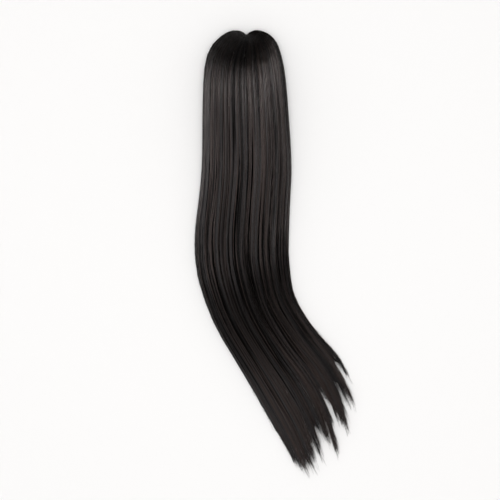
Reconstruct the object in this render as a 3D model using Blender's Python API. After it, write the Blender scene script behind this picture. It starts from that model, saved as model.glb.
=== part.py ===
"""Straight ponytail hairpiece on a claw clip, lying on a table with its hair combed down and swept
to one side.

Two hanks of hair meet at a parting over the crown. They hide the claw clip that grips the wearer's
own ponytail, and they cover a shorter under layer. Sizes are in millimetres, and become metres when
a mesh is made. The origin is on the table under the clip, with +Y towards the crown and +Z up.
"""

import math
from collections import namedtuple

import bmesh
import bpy

MM = 0.001
OBJECT_NAME = "ponytail_hairpiece"

# The fall of hair. Each row is a section across it, seen from above: its left and right edge on the
# table, how far its middle runs ahead of the straight line between them, the height of the hair, and
# the height of the hollow under it that holds the clip and the under layer.
Section = namedtuple("Section", "left_x left_y right_x right_y bow rise hollow")
SECTIONS = [
    Section(1.4, 61.9, 1.4, 61.9, 0.0, 6.0, 0.0),
    Section(-8.2, 66.7, 13.6, 67.3, 10.0, 20.0, 0.0),
    Section(-23.1, 64.6, 28.6, 63.9, 16.5, 30.5, 0.0),
    Section(-39.8, 52.4, 41.5, 53.1, 21.0, 38.5, 25.0),
    Section(-50.3, 36.7, 49.0, 35.4, 23.0, 43.5, 33.0),
    Section(-55.3, 13.6, 54.0, 10.9, 21.0, 45.5, 35.0),
    Section(-57.1, -23.1, 57.6, -24.5, 13.0, 44.5, 34.0),
    Section(-58.6, -115.6, 63.2, -115.6, 0.0, 34.0, 22.0),
    Section(-62.4, -160.5, 61.3, -164.5, 0.0, 27.0, 15.5),
    Section(-67.6, -202.6, 60.0, -202.6, 0.0, 22.0, 11.5),
    Section(-68.0, -239.3, 59.4, -232.5, 0.0, 19.5, 9.5),
    Section(-62.2, -275.8, 60.9, -254.3, 0.0, 18.0, 8.5),
    Section(-41.5, -332.3, 67.3, -293.1, 0.0, 16.5, 7.5),
    Section(-7.6, -390.7, 93.5, -337.2, 0.0, 14.0, 6.0),
    Section(21.9, -441.6, 129.6, -380.8, 0.0, 11.0, 4.5),
    Section(48.4, -487.1, 154.0, -431.6, 0.0, 8.0, 0.0),
    Section(74.8, -541.3, 170.0, -496.3, 0.0, 5.0, 0.0),
]

# The locks of the outer layer from left to right: how many hundredths of the fall each takes, how
# far down the middle of the fall its tip reaches, where it parts from the lock on its left, and how
# deep the valley between those two is, against the usual one. The first seven are the left hank.
Lock = namedtuple("Lock", "width reach parts_at valley")
OUTER_LOCKS = [
    Lock(6, 590.0, 560.0, 0.0),
    Lock(6, 604.0, 578.0, 0.6),
    Lock(6, 601.0, 585.0, 0.9),
    Lock(8, 593.0, 574.0, 1.5),
    Lock(7, 597.0, 577.0, 0.7),
    Lock(9, 588.0, 568.0, 0.9),
    Lock(8, 597.0, 558.0, 1.4),
    Lock(7, 601.0, 570.0, 0.8),
    Lock(7, 599.0, 571.0, 1.5),
    Lock(8, 578.0, 540.0, 0.7),
    Lock(8, 581.0, 545.0, 1.0),
    Lock(9, 551.0, 522.0, 1.4),
    Lock(6, 543.0, 516.0, 1.2),
    Lock(5, 518.0, 484.0, 0.7),
]
LAST_LOCK_NARROWS_AT = 480.0
HANK_LOCKS = 7
UNDER_REACH, UNDER_SHORT_REACH, UNDER_PARTS_AT = 512.0, 498.0, 480.0

NOSE_START = 2.5
UNDER_START = 101.0
CROWN_STEP, CROWN_END = 8.5, 86.0
FALL_STEP, FALL_END = 19.0, 478.0
TAIL_STEP = 11.0
LAST_RING_ROOM = 5.0

PARTING_GAP = 0.3
LAYER_GAP = 0.35
UNDER_SHRINK = 0.96
UNDER_SIDE_INSET = 1.6
EDGE_LIP = 1.2
TIP_SHARE = 0.22
TIP_HEIGHT = 1.0
UNDER_TIP_HEIGHT = 0.4
OUTER_DOME_POWER = 3.0
HOLLOW_DOME_POWER = 5.0
OUTER_RIDGE_STEPS = 4
RELIEF_MAX, RELIEF_OF_RISE = 2.2, 0.16
RELIEF_STARTS, RELIEF_FULL = 40.0, 190.0
RIDGE = 0.55
PARTING_VALLEY = 0.8

# The claw clip: one plain piece, hidden under the crown with its flat jaw on the table.
CLIP_WIDTH = 60.0
CLIP_WALL = 2.6
CLIP_BACK_Y, CLIP_FRONT_Y = 14.0, -26.0
CLIP_HEIGHT = 33.1
CLIP_CORNER = 11.0
CORNER_STEPS = 5
BARREL_RADIUS = 4.0
BARREL_SIDES = 20
LEVER_WIDTH = 22.0
LEVER_LENGTH = 12.0
LEVER_SPREAD = 28.0
TEETH = 6
TOOTH_WIDTH = 4.6
TOOTH_GAP_FROM, TOOTH_GAP_TO = 5.5, 25.0

BLACK_HAIR = (0.014, 0.012, 0.011, 1.0)
BLACK_PLASTIC = (0.02, 0.02, 0.02, 1.0)


def clear_scene():
    for old in list(bpy.data.objects):
        bpy.data.objects.remove(old, do_unlink=True)


def make_collection(name):
    group = bpy.data.collections.new(name)
    bpy.context.scene.collection.children.link(group)
    return group


def make_material(name, colour, roughness):
    material = bpy.data.materials.new(name)
    material.use_nodes = True
    shader = material.node_tree.nodes["Principled BSDF"]
    shader.inputs["Base Color"].default_value = colour
    shader.inputs["Roughness"].default_value = roughness
    shader.inputs["Metallic"].default_value = 0.0
    return material


# The form of the fall

def section_middle(row):
    return (row.left_x + row.right_x) / 2, (row.left_y + row.right_y) / 2 - row.bow


def section_stations():
    """Distance of each section from the parting's start, along the middle of the fall."""
    stations = [0.0]
    for before, after in zip(SECTIONS, SECTIONS[1:]):
        stations.append(stations[-1] + math.dist(section_middle(before), section_middle(after)))
    return stations


STATIONS = section_stations()


def column_slope(column, index):
    """Slope of one column at a row, as the line through the rows on both sides of it."""
    low, high = max(index - 1, 0), min(index + 1, len(SECTIONS) - 1)
    change = getattr(SECTIONS[high], column) - getattr(SECTIONS[low], column)
    return change / (STATIONS[high] - STATIONS[low])


def column_at(column, station):
    """One column of the section table, read on a smooth curve at a distance down the fall."""
    index = 0
    while index < len(SECTIONS) - 2 and STATIONS[index + 1] < station:
        index += 1
    step = STATIONS[index + 1] - STATIONS[index]
    t = (station - STATIONS[index]) / step
    start, end = getattr(SECTIONS[index], column), getattr(SECTIONS[index + 1], column)
    leave, arrive = column_slope(column, index) * step, column_slope(column, index + 1) * step
    return (
        start * (2 * t ** 3 - 3 * t ** 2 + 1)
        + leave * (t ** 3 - 2 * t ** 2 + t)
        + end * (3 * t ** 2 - 2 * t ** 3)
        + arrive * (t ** 3 - t ** 2)
    )


def plan_point(across, station):
    """Place on the table of a point from 0, the left edge, to 1, the right edge."""
    left_x, left_y = column_at("left_x", station), column_at("left_y", station)
    right_x, right_y = column_at("right_x", station), column_at("right_y", station)
    ahead = column_at("bow", station) * (1 - (2 * across - 1) ** 2)
    return left_x + (right_x - left_x) * across, left_y + (right_y - left_y) * across - ahead


def section_width(station):
    left = column_at("left_x", station), column_at("left_y", station)
    right = column_at("right_x", station), column_at("right_y", station)
    return math.dist(left, right)


def dome(across, power):
    """Height across a rounded section, from 0 at its edges to 1 in the middle."""
    from_middle = min(abs(2 * across - 1), 1.0)
    return (1 - from_middle ** power) ** (1 / power)


def smooth_step(value, start, end):
    t = min(max((value - start) / (end - start), 0.0), 1.0)
    return t * t * (3 - 2 * t)


def outer_height(across, station):
    return max(column_at("rise", station) * dome(across, OUTER_DOME_POWER), EDGE_LIP)


def lock_edges():
    """Boundaries of the outer locks, from 0 at the left edge to 1 at the right one."""
    edges = [0.0]
    for lock in OUTER_LOCKS:
        edges.append(edges[-1] + lock.width / 100)
    return edges


EDGES = lock_edges()


def hollow_share(boundary):
    """Height of the hollow at a boundary between locks, which is 0 at the outermost ones."""
    inside = (EDGES[boundary] - EDGES[1]) / (EDGES[-2] - EDGES[1])
    return dome(inside, HOLLOW_DOME_POWER) if 0 < inside < 1 else 0.0


def hollow_height(across, station):
    """Height of the hollow, which runs straight from one lock's boundary to the next."""
    boundary = 0
    while boundary < len(OUTER_LOCKS) - 1 and EDGES[boundary + 1] < across:
        boundary += 1
    within = (across - EDGES[boundary]) / (EDGES[boundary + 1] - EDGES[boundary])
    low, high = hollow_share(boundary), hollow_share(boundary + 1)
    return max(column_at("hollow", station), 0.0) * (low + (high - low) * within)


# Locks of hair, joined side by side until they part

def ring_stations():
    """Stations that all layers share, so that facets laid over each other match."""
    stations = [NOSE_START]
    while stations[-1] < max(lock.reach for lock in OUTER_LOCKS):
        here = stations[-1]
        step = CROWN_STEP if here < CROWN_END else FALL_STEP if here < FALL_END else TAIL_STEP
        stations.append(here + step)
    return stations


def taper(station, starts, reach):
    """How far a lock has narrowed, from 0 where it starts to 1 at its tip."""
    return min(max((station - starts) / (reach - starts), 0.0), 1.0)


class LockRow:
    """A row of locks fused side by side, which part one by one towards their tips."""

    tip_height = TIP_HEIGHT

    def __init__(self, locks, right_side_narrows_at, edges, ridge_steps):
        self.locks = locks
        self.parts = [lock.parts_at for lock in locks] + [right_side_narrows_at]
        self.edges = edges
        self.ridge_steps = ridge_steps
        self.bm = bmesh.new()
        self.verts = {}

    def lock_sides(self, index, station):
        lock, left, right = self.locks[index], self.edges[index], self.edges[index + 1]
        centre = (left + right) / 2
        narrow_left = taper(station, self.parts[index], lock.reach) * (1 - TIP_SHARE)
        narrow_right = taper(station, self.parts[index + 1], lock.reach) * (1 - TIP_SHARE)
        return left + (centre - left) * narrow_left, right + (centre - right) * narrow_right

    def place(self, across, station, height):
        x, y = plan_point(across, station)
        return x, y, height

    def top_height(self, across, station, index, within):
        relief = min(RELIEF_MAX, RELIEF_OF_RISE * column_at("rise", station))
        relief *= smooth_step(station, RELIEF_STARTS, RELIEF_FULL)
        valley = self.valleys[index + (within > 0.5)]
        ridge = math.sin(math.pi * within)
        raised = relief * (ridge * RIDGE - (1 - ridge) * valley)
        return max(outer_height(across, station) + raised, EDGE_LIP)

    def bottom_height(self, across, station):
        return hollow_height(across, station)

    def corner(self, index, ring, station, within, top):
        """A vertex of a lock's ring, shared with its neighbour until the two part."""
        boundary = index if within == 0 else index + 1 if within == 1 else None
        inner = boundary is not None and 0 < boundary < len(self.locks)
        owner = index
        if inner and station <= self.parts[boundary]:
            owner = "shared"
        key = (owner, boundary if inner else (index, within), ring, top)
        if key not in self.verts:
            left, right = self.lock_sides(index, station)
            across = left + (right - left) * within
            if top:
                height = self.top_height(across, station, index, within)
                narrowed = taper(station, self.parts[index], self.locks[index].reach)
                height += (self.tip_height - height) * narrowed ** 2
                height = max(height, self.bottom_height(across, station) + self.tip_height)
            else:
                height = self.bottom_height(across, station)
            x, y, z = self.place(across, station, height)
            self.verts[key] = self.bm.verts.new((x * MM, y * MM, z * MM))
        return self.verts[key]

    def ring(self, index, number, station):
        steps = self.ridge_steps
        tops = [self.corner(index, number, station, step / steps, True) for step in range(steps + 1)]
        left = self.corner(index, number, station, 0, False)
        right = self.corner(index, number, station, 1, False)
        return left, right, tops

    def add_lock(self, index, stations):
        """Skin one lock, with every strip cut along the same diagonal on top and underneath."""
        reach = self.locks[index].reach
        own = [station for station in stations if station < reach - LAST_RING_ROOM] + [reach]
        rings = [self.ring(index, number, station) for number, station in enumerate(own)]
        for number, (here, after) in enumerate(zip(rings, rings[1:])):
            (left, right, tops), (left_2, right_2, tops_2) = here, after
            for a, b, b_2, a_2 in zip(tops, tops[1:], tops_2[1:], tops_2):
                self.bm.faces.new((a, a_2, b_2))
                self.bm.faces.new((a, b_2, b))
            self.bm.faces.new((left, right, right_2))
            self.bm.faces.new((left, right_2, left_2))
            if index == 0 or own[number + 1] > self.parts[index]:
                self.bm.faces.new((left, left_2, tops_2[0], tops[0]))
            if index == len(self.locks) - 1 or own[number + 1] > self.parts[index + 1]:
                self.bm.faces.new((right, tops[-1], tops_2[-1], right_2))
        for (left, right, tops), back in ((rings[0], False), (rings[-1], True)):
            cap = [left] + tops + [right]
            self.bm.faces.new(cap[::-1] if back else cap)

    def build(self, name, start, material, group):
        stations = [station for station in ring_stations() if station >= start]
        for index in range(len(self.locks)):
            self.add_lock(index, stations)
        bmesh.ops.recalc_face_normals(self.bm, faces=self.bm.faces)
        mesh = bpy.data.meshes.new(name)
        self.bm.to_mesh(mesh)
        self.bm.free()
        mesh.shade_smooth()
        mesh.set_sharp_from_angle(angle=math.radians(50))
        mesh.materials.append(material)
        hair = bpy.data.objects.new(name, mesh)
        group.objects.link(hair)
        return hair


class Hank(LockRow):
    """Half of the outer layer, kept off the other half along the parting."""

    def __init__(self, first, last, right_side_narrows_at, side):
        edges = EDGES[first:last + 1]
        super().__init__(OUTER_LOCKS[first:last], right_side_narrows_at, edges, OUTER_RIDGE_STEPS)
        self.valleys = [lock.valley for lock in self.locks] + [PARTING_VALLEY * (side < 0)]
        self.side = side

    def place(self, across, station, height):
        x, y, z = super().place(across, station, height)
        away = PARTING_GAP / 2 * (1 - min(abs(across - 0.5) * 2, 1))
        return x + self.side * away, y, z


class UnderLayer(LockRow):
    """The shorter layer that fills the hollow behind the clip and lies on the table."""

    tip_height = UNDER_TIP_HEIGHT

    def __init__(self):
        edges = EDGES[1:-1]
        short = (UNDER_REACH, UNDER_SHORT_REACH)
        locks = [Lock(0, short[order % 2], UNDER_PARTS_AT, 0.0) for order in range(len(edges) - 1)]
        super().__init__(locks, UNDER_PARTS_AT, edges, 1)

    def place(self, across, station, height):
        inset = UNDER_SIDE_INSET / section_width(station)
        kept = min(max(across, self.edges[0] + inset), self.edges[-1] - inset)
        return super().place(kept, station, height)

    def top_height(self, across, station, index, within):
        return max(hollow_height(across, station) * UNDER_SHRINK - LAYER_GAP, UNDER_TIP_HEIGHT)

    def bottom_height(self, across, station):
        return 0.0


def build_hair(group):
    material = make_material("hair", BLACK_HAIR, 0.4)
    parting = OUTER_LOCKS[HANK_LOCKS].parts_at
    left = Hank(0, HANK_LOCKS, parting, -1)
    left.build("left_hair", NOSE_START, material, group)
    right = Hank(HANK_LOCKS, len(OUTER_LOCKS), LAST_LOCK_NARROWS_AT, 1)
    right.build("right_hair", NOSE_START, material, group)
    UnderLayer().build("under_hair", UNDER_START, material, group)


# The claw clip

def rounded_loop(back, front, low, high, radius):
    """Points round a rectangle with rounded corners, as (y, z)."""
    centres = [
        (back - radius, low + radius, -90),
        (back - radius, high - radius, 0),
        (front + radius, high - radius, 90),
        (front + radius, low + radius, 180),
    ]
    points = []
    for y, z, start in centres:
        for step in range(CORNER_STEPS + 1):
            angle = math.radians(start + 90 * step / CORNER_STEPS)
            points.append((y + radius * math.cos(angle), z + radius * math.sin(angle)))
    return points


def extruded(name, loops, width):
    """Mesh object from flat loops of (y, z) points, as thick along X as the width."""
    curve = bpy.data.curves.new(name + "_outline", "CURVE")
    curve.dimensions = "2D"
    curve.fill_mode = "BOTH"
    curve.extrude = width / 2 * MM
    for points in loops:
        spline = curve.splines.new("POLY")
        spline.points.add(len(points) - 1)
        for point, (y, z) in zip(spline.points, points):
            point.co = (y * MM, z * MM, 0, 1)
        spline.use_cyclic_u = True
    outline = bpy.data.objects.new(name + "_outline", curve)
    bpy.context.scene.collection.objects.link(outline)
    bpy.context.view_layer.update()
    evaluated = outline.evaluated_get(bpy.context.evaluated_depsgraph_get())
    mesh = bpy.data.meshes.new_from_object(evaluated)
    bpy.data.objects.remove(outline, do_unlink=True)
    bm = bmesh.new()
    bm.from_mesh(mesh)
    bmesh.ops.remove_doubles(bm, verts=bm.verts, dist=0.00001)
    for vert in bm.verts:
        y, z, x = vert.co
        vert.co = (x, y, z)
    bmesh.ops.recalc_face_normals(bm, faces=bm.faces)
    bm.to_mesh(mesh)
    bm.free()
    return bpy.data.objects.new(name, mesh)


def lever_loop(barrel_z, up):
    """Outline of one thumb lever, leaving the barrel at a slant."""
    slant = math.radians(LEVER_SPREAD)
    out_y, out_z = math.cos(slant), up * math.sin(slant)
    thick = CLIP_WALL / 2
    root, tip = (CLIP_BACK_Y, barrel_z), LEVER_LENGTH + BARREL_RADIUS
    corners = [(0, -thick), (tip, -thick), (tip, thick), (0, thick)]
    return [(root[0] + a * out_y - b * out_z, root[1] + a * out_z + b * out_y) for a, b in corners]


def combine(target, tool, operation, group):
    """Add a Boolean whose tool is kept out of sight in its own collection."""
    group.objects.link(tool)
    tool.hide_render = True
    tool.display_type = "WIRE"
    modifier = target.modifiers.new(tool.name, "BOOLEAN")
    modifier.operation = operation
    modifier.solver = "EXACT"
    modifier.object = tool


def build_clip(group, cutters):
    barrel_z = CLIP_HEIGHT / 2
    outer = rounded_loop(CLIP_BACK_Y, CLIP_FRONT_Y, 0, CLIP_HEIGHT, CLIP_CORNER)
    inner = rounded_loop(
        CLIP_BACK_Y - CLIP_WALL,
        CLIP_FRONT_Y + CLIP_WALL,
        CLIP_WALL,
        CLIP_HEIGHT - CLIP_WALL,
        CLIP_CORNER - CLIP_WALL,
    )
    clip = extruded("claw_clip", [outer, inner], CLIP_WIDTH)
    group.objects.link(clip)
    turn = [2 * math.pi * side / BARREL_SIDES for side in range(BARREL_SIDES)]
    circle = [
        (CLIP_BACK_Y + BARREL_RADIUS * math.cos(a), barrel_z + BARREL_RADIUS * math.sin(a))
        for a in turn
    ]
    combine(clip, extruded("barrel", [circle], CLIP_WIDTH - 2), "UNION", cutters)
    for label, up in (("upper_lever", 1), ("lower_lever", -1)):
        combine(clip, extruded(label, [lever_loop(barrel_z, up)], LEVER_WIDTH), "UNION", cutters)
    pitch = (CLIP_WIDTH - TOOTH_WIDTH) / (TEETH - 1)
    for order in range(TEETH - 1):
        bpy.ops.mesh.primitive_cube_add(size=1)
        gap = bpy.context.object
        gap.name = f"tooth_gap_{order + 1}"
        gap.dimensions = (
            (pitch - TOOTH_WIDTH) * MM,
            2 * CLIP_CORNER * MM,
            (TOOTH_GAP_TO - TOOTH_GAP_FROM) * MM,
        )
        middle_x = -CLIP_WIDTH / 2 + TOOTH_WIDTH / 2 + pitch * (order + 0.5)
        middle_z = (TOOTH_GAP_FROM + TOOTH_GAP_TO) / 2
        gap.location = (middle_x * MM, CLIP_FRONT_Y * MM, middle_z * MM)
        for holder in list(gap.users_collection):
            holder.objects.unlink(gap)
        combine(clip, gap, "DIFFERENCE", cutters)
    clip.data.materials.append(make_material("clip", BLACK_PLASTIC, 0.35))


def main():
    clear_scene()
    group = make_collection(OBJECT_NAME)
    cutters = make_collection("cutters")
    build_hair(group)
    build_clip(group, cutters)


main()
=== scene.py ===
"""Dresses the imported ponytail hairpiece: combed locks, laid strands, a moulded clip and a pale studio.

The hair is built in the same millimetres as the solids that it stands for, from the same sections.
A strand's place is given by how far across the fall it lies and how far down the fall it has run.
"""

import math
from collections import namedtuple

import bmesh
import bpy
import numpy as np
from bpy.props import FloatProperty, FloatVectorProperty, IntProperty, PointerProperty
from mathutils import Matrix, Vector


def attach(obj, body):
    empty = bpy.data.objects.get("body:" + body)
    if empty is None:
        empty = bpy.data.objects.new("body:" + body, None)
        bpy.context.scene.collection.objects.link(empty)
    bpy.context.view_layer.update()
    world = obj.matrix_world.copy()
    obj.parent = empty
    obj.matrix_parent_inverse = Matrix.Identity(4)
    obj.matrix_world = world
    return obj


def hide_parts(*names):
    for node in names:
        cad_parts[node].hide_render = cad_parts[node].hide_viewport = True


bl_info = {
    "name": "Ponytail Hairpiece",
    "version": (1, 0, 0),
    "blender": (4, 5, 0),
    "location": "View3D > Sidebar > Hairpiece",
    "description": "Builds the hair, the clip's finish and the studio round the packed hairpiece",
    "category": "Object",
}

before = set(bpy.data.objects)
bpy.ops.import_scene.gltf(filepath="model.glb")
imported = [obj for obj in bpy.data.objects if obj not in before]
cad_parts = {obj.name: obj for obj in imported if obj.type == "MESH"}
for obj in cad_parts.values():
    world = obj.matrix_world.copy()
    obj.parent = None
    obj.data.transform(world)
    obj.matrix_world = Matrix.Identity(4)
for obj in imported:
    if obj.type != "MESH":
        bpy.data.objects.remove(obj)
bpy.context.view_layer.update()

MM = 0.001
BODY = "root"
UV_NAME = "UVMap"

# The photograph's frame: its width in pixels, the size of one pixel on the table, and the pixel that
# the part's origin falls on.
PHOTO_PIXELS = 500
PIXEL_MM = 1.36
ORIGIN_PIXEL_X, ORIGIN_PIXEL_Y = 245.0, 80.0

# The fall of hair. Each row is a section across it, seen from above: its left and right edge on the
# table, how far its middle runs ahead of the straight line between them, the height of the hair, and
# the height of the hollow under it.
Section = namedtuple("Section", "left_x left_y right_x right_y bow rise hollow")
SECTIONS = [Section(*row) for row in (
    (1.4, 61.9, 1.4, 61.9, 0.0, 6.0, 0.0),
    (-8.2, 66.7, 13.6, 67.3, 10.0, 20.0, 0.0),
    (-23.1, 64.6, 28.6, 63.9, 16.5, 30.5, 0.0),
    (-39.8, 52.4, 41.5, 53.1, 21.0, 38.5, 25.0),
    (-50.3, 36.7, 49.0, 35.4, 23.0, 43.5, 33.0),
    (-55.3, 13.6, 54.0, 10.9, 21.0, 45.5, 35.0),
    (-57.1, -23.1, 57.6, -24.5, 13.0, 44.5, 34.0),
    (-58.6, -115.6, 63.2, -115.6, 0.0, 34.0, 22.0),
    (-62.4, -160.5, 61.3, -164.5, 0.0, 27.0, 15.5),
    (-67.6, -202.6, 60.0, -202.6, 0.0, 22.0, 11.5),
    (-68.0, -239.3, 59.4, -232.5, 0.0, 19.5, 9.5),
    (-62.2, -275.8, 60.9, -254.3, 0.0, 18.0, 8.5),
    (-41.5, -332.3, 67.3, -293.1, 0.0, 16.5, 7.5),
    (-7.6, -390.7, 93.5, -337.2, 0.0, 14.0, 6.0),
    (21.9, -441.6, 129.6, -380.8, 0.0, 11.0, 4.5),
    (48.4, -487.1, 154.0, -431.6, 0.0, 8.0, 0.0),
    (74.8, -541.3, 170.0, -496.3, 0.0, 5.0, 0.0),
)]

# The locks from left to right: how many hundredths of the fall each takes, how far down the fall its
# tip reaches, where it parts from the lock on its left, and how deep the valley between the two is.
Lock = namedtuple("Lock", "width reach parts_at valley")
LOCKS = [Lock(*row) for row in (
    (6, 590.0, 560.0, 0.0),
    (6, 604.0, 578.0, 0.6),
    (6, 601.0, 585.0, 0.9),
    (8, 593.0, 574.0, 1.5),
    (7, 597.0, 577.0, 0.7),
    (9, 588.0, 568.0, 0.9),
    (8, 597.0, 558.0, 1.4),
    (7, 601.0, 570.0, 0.8),
    (7, 599.0, 571.0, 1.5),
    (8, 578.0, 540.0, 0.7),
    (8, 581.0, 545.0, 1.0),
    (9, 551.0, 522.0, 1.4),
    (6, 543.0, 516.0, 1.2),
    (5, 518.0, 484.0, 0.7),
)]
HANK_LOCKS = 7
LAST_LOCK_NARROWS_AT = 480.0

# The tufts that the locks end in, from left to right: how many hundredths of the fall each takes, how
# far its tip reaches, where it parts from the tuft on its left, and where across the fall its tip lies.
Tuft = namedtuple("Tuft", "width reach parts_at tip")
TUFTS = [Tuft(*row) for row in (
    (3.0, 588.0, 560.0, 0.020),
    (3.0, 594.0, 575.0, 0.038),
    (3.0, 598.0, 578.0, 0.076),
    (3.0, 601.0, 582.0, 0.104),
    (3.0, 600.0, 580.0, 0.128),
    (3.0, 602.0, 586.0, 0.162),
    (4.0, 599.0, 574.0, 0.192),
    (4.0, 596.0, 578.0, 0.224),
    (3.5, 596.0, 558.0, 0.257),
    (3.5, 583.0, 566.0, 0.300),
    (4.5, 592.0, 564.0, 0.345),
    (4.5, 598.0, 572.0, 0.360),
    (4.0, 578.0, 562.0, 0.425),
    (4.0, 576.0, 560.0, 0.470),
    (4.8, 588.0, 566.0, 0.500),
    (2.2, 597.0, 540.0, 0.566),
    (3.5, 601.0, 575.0, 0.574),
    (3.5, 574.0, 550.0, 0.592),
    (4.0, 542.0, 518.0, 0.666),
    (4.0, 558.0, 538.0, 0.698),
    (4.0, 571.0, 545.0, 0.742),
    (4.0, 580.0, 556.0, 0.766),
    (3.4, 563.0, 548.0, 0.790),
    (2.8, 545.0, 518.0, 0.868),
    (2.8, 553.0, 534.0, 0.902),
    (4.4, 557.0, 536.0, 0.926),
    (1.6, 517.0, 500.0, 0.972),
    (2.5, 521.0, 502.0, 0.988),
    (2.5, 512.0, 496.0, 0.998),
)]

# How far down the fall the layers start and end.
NOSE_START = 2.5
UNDER_START = 101.0
UNDER_REACH, UNDER_PARTS_AT = 505.0, 480.0
UNDER_SHORTEST, UNDER_LONGEST = -12.0, 6.0

# The rounded form of a section, the thin edges and tips, and the ridges of the locks.
DOME_POWER, HOLLOW_POWER = 3.0, 5.0
EDGE_LIP = 1.2
TIP_HEIGHT = 0.8
TIP_SHARE = 0.04
RELIEF_MAX, RELIEF_OF_RISE = 2.2, 0.16
RELIEF_STARTS, RELIEF_FULL = 40.0, 190.0
RIDGE = 0.55

# What keeps the pieces clear of each other.
UNDER_SHRINK, LAYER_GAP = 0.96, 0.35
UNDER_SIDE_INSET = 1.6
PARTING_GAP = 0.3


# Maths that node graphs share

class Socket:
    """A socket of a node graph, which takes part in Python expressions."""

    def __init__(self, graph, socket):
        self.graph, self.socket = graph, socket

    def math(self, operation, *others):
        return self.graph.math(operation, self, *others)

    def __add__(self, other):
        return self.math("ADD", other)

    def __sub__(self, other):
        return self.math("SUBTRACT", other)

    def __rsub__(self, other):
        return self.graph.math("SUBTRACT", other, self)

    def __mul__(self, other):
        return self.math("MULTIPLY", other)

    def __truediv__(self, other):
        return self.math("DIVIDE", other)

    def __rtruediv__(self, other):
        return self.graph.math("DIVIDE", other, self)

    def __pow__(self, other):
        return self.math("POWER", other)

    def __rpow__(self, other):
        return self.graph.math("POWER", other, self)

    __radd__ = __add__
    __rmul__ = __mul__

    def clamp(self, low=0.0, high=1.0):
        return self.math("MINIMUM", high).math("MAXIMUM", low)

    def ramp(self, start, end):
        """0 below start and 1 above end, eased in between."""
        return self.graph.node(
            "ShaderNodeMapRange",
            {"interpolation_type": "SMOOTHSTEP"},
            {"Value": self, "From Min": start, "From Max": end},
        )


def feed(socket, value):
    """Give a node's socket a link or a plain value."""
    if isinstance(value, Socket):
        value.graph.tree.links.new(value.socket, socket)
    else:
        socket.default_value = value


class Graph:
    """Adds nodes to a node tree: settings first, then the values or links of their sockets."""

    def __init__(self, tree):
        self.tree = tree

    def add(self, kind, settings=None, values=None):
        node = self.tree.nodes.new(kind)
        for name, value in (settings or {}).items():
            setattr(node, name, value)
        sockets = [socket for socket in node.inputs if socket.enabled]
        named = {socket.name: socket for socket in reversed(sockets)}
        pairs = values.items() if isinstance(values, dict) else enumerate(values or [])
        for key, value in pairs:
            feed(named[key] if isinstance(key, str) else sockets[key], value)
        return node

    def out(self, node, name=None):
        for socket in node.outputs:
            if socket.enabled and name in (None, socket.name):
                return Socket(self, socket)
        raise KeyError(f"{node.bl_idname} has no output {name}")

    def node(self, kind, settings=None, values=None, out=None):
        return self.out(self.add(kind, settings, values), out)

    def math(self, operation, *values):
        return self.node("ShaderNodeMath", {"operation": operation}, list(values))

    def vector(self, operation, *values, out=None):
        return self.node("ShaderNodeVectorMath", {"operation": operation}, list(values), out)

    def combine(self, x, y, z):
        return self.node("ShaderNodeCombineXYZ", None, [x, y, z])

    def split(self, vector):
        node = self.add("ShaderNodeSeparateXYZ", None, [vector])
        return [Socket(self, socket) for socket in node.outputs]

    def noise(self, vector, scale=1.0, detail=2.0):
        return self.node("ShaderNodeTexNoise", None, {"Vector": vector, "Scale": scale, "Detail": detail})

    def mix_colour(self, factor, first, second):
        settings = {"data_type": "RGBA"}
        return self.node("ShaderNodeMix", settings, {"Factor": factor, "A": first, "B": second})


# Objects and meshes

def add_object(name, data):
    item = bpy.data.objects.new(name, data)
    bpy.context.scene.collection.objects.link(item)
    return item


def add_uv(mesh, places):
    """Give a mesh a UV map of its points' places."""
    corners = np.empty(len(mesh.loops), np.int32)
    mesh.loops.foreach_get("vertex_index", corners)
    layer = mesh.uv_layers.new(name=UV_NAME)
    layer.data.foreach_set("uv", places[corners].astype(np.float32).ravel())


# The form of the fall, in millimetres

def smooth_step(value, start, end):
    t = np.clip((np.asarray(value, float) - start) / (end - start), 0.0, 1.0)
    return t * t * (3 - 2 * t)


def dome(across, power):
    from_middle = np.minimum(np.abs(2 * np.asarray(across, float) - 1), 1.0)
    return (1 - from_middle ** power) ** (1 / power)


class Fall:
    """Reads the section table on smooth curves between its rows."""

    def __init__(self, sections):
        self.rows = np.array(sections, float)
        middle = (self.rows[:, 0:2] + self.rows[:, 2:4]) / 2
        middle[:, 1] -= self.rows[:, 4]
        self.stations = np.concatenate([[0.0], np.cumsum(np.linalg.norm(np.diff(middle, axis=0), axis=1))])
        order = np.arange(len(sections))
        low, high = np.maximum(order - 1, 0), np.minimum(order + 1, len(sections) - 1)
        run = (self.stations[high] - self.stations[low])[:, None]
        self.slopes = (self.rows[high] - self.rows[low]) / run

    def read(self, station):
        station = np.asarray(station, float)
        index = np.clip(np.searchsorted(self.stations, station) - 1, 0, len(self.rows) - 2)
        step = (self.stations[index + 1] - self.stations[index])[..., None]
        t = (station[..., None] - self.stations[index][..., None]) / step
        return (
            self.rows[index] * (2 * t ** 3 - 3 * t ** 2 + 1)
            + self.slopes[index] * step * (t ** 3 - 2 * t ** 2 + t)
            + self.rows[index + 1] * (3 * t ** 2 - 2 * t ** 3)
            + self.slopes[index + 1] * step * (t ** 3 - t ** 2)
        )

    def plan(self, across, station):
        """Place on the table of points from 0, the left edge, to 1, the right edge."""
        rows = self.read(station)
        x = rows[..., 0] + (rows[..., 2] - rows[..., 0]) * across
        y = rows[..., 1] + (rows[..., 3] - rows[..., 1]) * across
        return x, y - rows[..., 4] * (1 - (2 * across - 1) ** 2)

    def width(self, station):
        rows = self.read(station)
        return np.hypot(rows[..., 2] - rows[..., 0], rows[..., 3] - rows[..., 1])

    def rise(self, station):
        return self.read(station)[..., 5]

    def hollow(self, station):
        return np.maximum(self.read(station)[..., 6], 0.0)


def edges_of(rows):
    return np.concatenate([[0.0], np.cumsum([row.width for row in rows]) / 100.0])


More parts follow.
